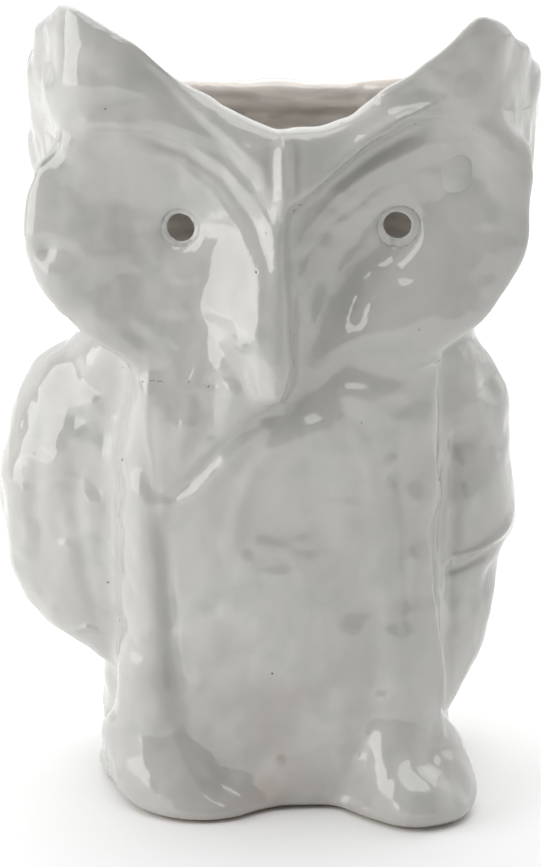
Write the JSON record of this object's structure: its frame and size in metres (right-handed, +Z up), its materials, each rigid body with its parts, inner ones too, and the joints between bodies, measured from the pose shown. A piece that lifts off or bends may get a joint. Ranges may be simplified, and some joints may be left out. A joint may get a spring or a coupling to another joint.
{
  "type": "owl figurine",
  "caption": "Hollow glazed ceramic owl figurine, open at the top like a vase, with pierced eyes, folded pointed ears, draped throat, arched belly and bulging wings.",
  "frame": {"origin": "on the table under the middle of the whole owl", "axes": "+Z up; the owl faces -Y; +X is the viewer's right when looking at the face"},
  "size_m": [0.2257, 0.1658, 0.3399],
  "materials": {
    "base_slab": "glossy off-white glaze",
    "body_wall": "glossy off-white glaze",
    "head_wall": "glossy off-white glaze",
    "rim_band": "glossy off-white glaze",
    "face_left": "glossy off-white glaze",
    "face_right": "glossy off-white glaze",
    "brow_left": "glossy off-white glaze",
    "brow_right": "glossy off-white glaze",
    "ear_left": "glossy off-white glaze",
    "ear_right": "glossy off-white glaze",
    "beak_ridge": "glossy off-white glaze",
    "throat_left": "glossy off-white glaze",
    "throat_right": "glossy off-white glaze",
    "belly_panel": "glossy off-white glaze",
    "leg_left": "glossy off-white glaze",
    "leg_right": "glossy off-white glaze",
    "foot_left": "glossy off-white glaze",
    "foot_right": "glossy off-white glaze",
    "wing_left": "glossy off-white glaze",
    "wing_right": "glossy off-white glaze",
    "wing_covert_right": "glossy off-white glaze"
  },
  "bodies": {
    "root": {"base_slab": "base_slab", "body_wall": "body_wall", "head_wall": "head_wall", "rim_band": "rim_band", "face_left": "face_left", "face_right": "face_right", "brow_left": "brow_left", "brow_right": "brow_right", "ear_left": "ear_left", "ear_right": "ear_right", "beak_ridge": "beak_ridge", "throat_left": "throat_left", "throat_right": "throat_right", "belly_panel": "belly_panel", "leg_left": "leg_left", "leg_right": "leg_right", "foot_left": "foot_left", "foot_right": "foot_right", "wing_left": "wing_left", "wing_right": "wing_right", "wing_covert_right": "wing_covert_right"}
  },
  "joints": []
}
